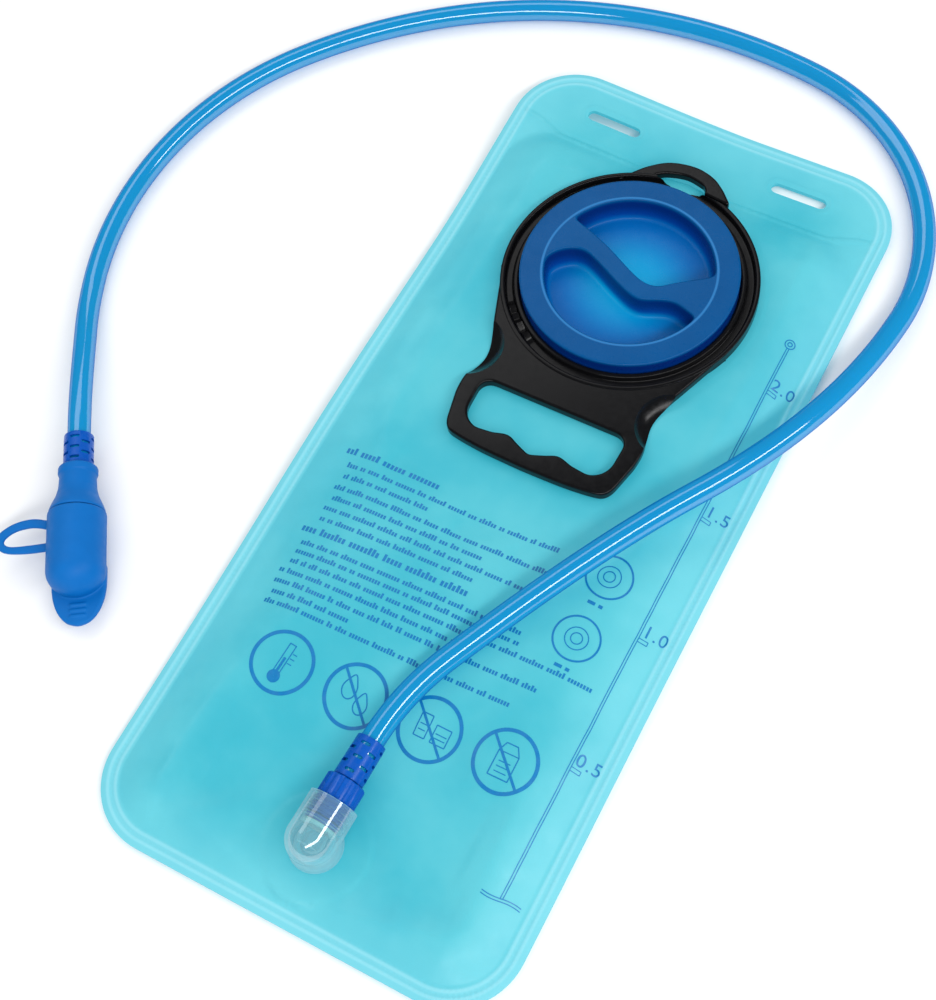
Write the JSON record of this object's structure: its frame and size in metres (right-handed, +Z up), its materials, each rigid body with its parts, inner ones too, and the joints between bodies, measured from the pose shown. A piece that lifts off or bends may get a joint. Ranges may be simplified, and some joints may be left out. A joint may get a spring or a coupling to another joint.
{
  "type": "hydration bladder",
  "caption": "Flat welded film water bladder with a screw cap, a carrying handle ring, a screw-in outlet, a drinking hose and a covered bite valve.",
  "frame": {"origin": "middle of the bag's flat underside, on the floor", "axes": "+X to the bag's right seen from its face, +Y towards the hanging strip, +Z up out of the bag's face"},
  "size_m": [0.331, 0.4298, 0.0285],
  "materials": {
    "bag_film": "satin translucent film, cyan",
    "port_moulding": "cyan moulding, satin",
    "black_plastic": "glossy black, fine scuffs",
    "cap_plastic": "translucent deep blue, frosted rim",
    "clear_plastic": "clear, slightly milky",
    "blue_plastic": "bright blue, satin gloss",
    "hose_tube": "translucent blue, glossy",
    "soft_blue": "soft blue, matt",
    "seal_rubber": "pale, matt"
  },
  "bodies": {
    "bag": {"back_film": "bag_film", "front_film": "bag_film", "port_flange": "port_moulding", "handle_ring": "black_plastic", "outlet_flange": "port_moulding", "outlet_elbow": "clear_plastic", "outlet_seal": "seal_rubber"},
    "gasket": {"cap_gasket": "seal_rubber"},
    "cap": {"cap_shell": "cap_plastic"},
    "stem": {"hose_stem": "blue_plastic", "lower_sleeve": "blue_plastic", "hose_outlet_length": "hose_tube"},
    "nut": {"hose_nut": "blue_plastic"},
    "hose_right": {"hose_right_length": "hose_tube"},
    "hose_left": {"hose_left_length": "hose_tube"},
    "valve": {"hose_valve_length": "hose_tube", "upper_sleeve": "blue_plastic", "valve_body": "soft_blue", "valve_plug": "blue_plastic", "tip_seal": "seal_rubber"},
    "tip": {"bite_tip": "soft_blue"},
    "cover": {"dust_cover": "soft_blue"}
  },
  "joints": [
    {"name": "cap_lift", "type": "slide", "parent": "bag", "child": "gasket", "axis": [0, 0, 1], "range_m": [0, 0.006]},
    {"name": "cap_turn", "type": "hinge", "parent": "gasket", "child": "cap", "pos_m": [0, 0.0973, 0.015], "axis": [0, 0, 1], "range_deg": [0, 540]},
    {"name": "hose_pull", "type": "slide", "parent": "bag", "child": "stem", "axis": [0.0349, 0.9994, 0], "range_m": [0, 0.0096]},
    {"name": "nut_turn", "type": "hinge", "parent": "stem", "child": "nut", "pos_m": [0.002, -0.16, 0.0158], "axis": [0.0349, 0.9994, 0], "range_deg": [0, 1440]},
    {"name": "hose_swing", "type": "hinge", "parent": "stem", "child": "hose_right", "pos_m": [0.10388, 0.13475, 0.00645], "axis": [0, 0, 1], "range_deg": [-40, 0]},
    {"name": "hose_lift", "type": "hinge", "parent": "hose_right", "child": "hose_left", "pos_m": [-0.00249, 0.23511, 0.0046], "axis": [0, 1, 0], "range_deg": [0, 45]},
    {"name": "hose_bend", "type": "hinge", "parent": "hose_left", "child": "valve", "pos_m": [-0.21758, 0.07353, 0.0046], "axis": [0, 0, 1], "range_deg": [-30, 0]},
    {"name": "tip_pull", "type": "slide", "parent": "valve", "child": "tip", "axis": [0.5446, -0.8387, 0], "range_m": [0, 0.005]},
    {"name": "cover_pull", "type": "slide", "parent": "valve", "child": "cover", "axis": [0.5446, -0.8387, 0], "range_m": [0, 0.04]}
  ],
  "couplings": [
    {"joint": "cap_lift", "follows": "cap_turn", "m_per_rad": 0.00063662},
    {"joint": "nut_turn", "follows": "hose_pull", "rad_per_m": 2618}
  ]
}
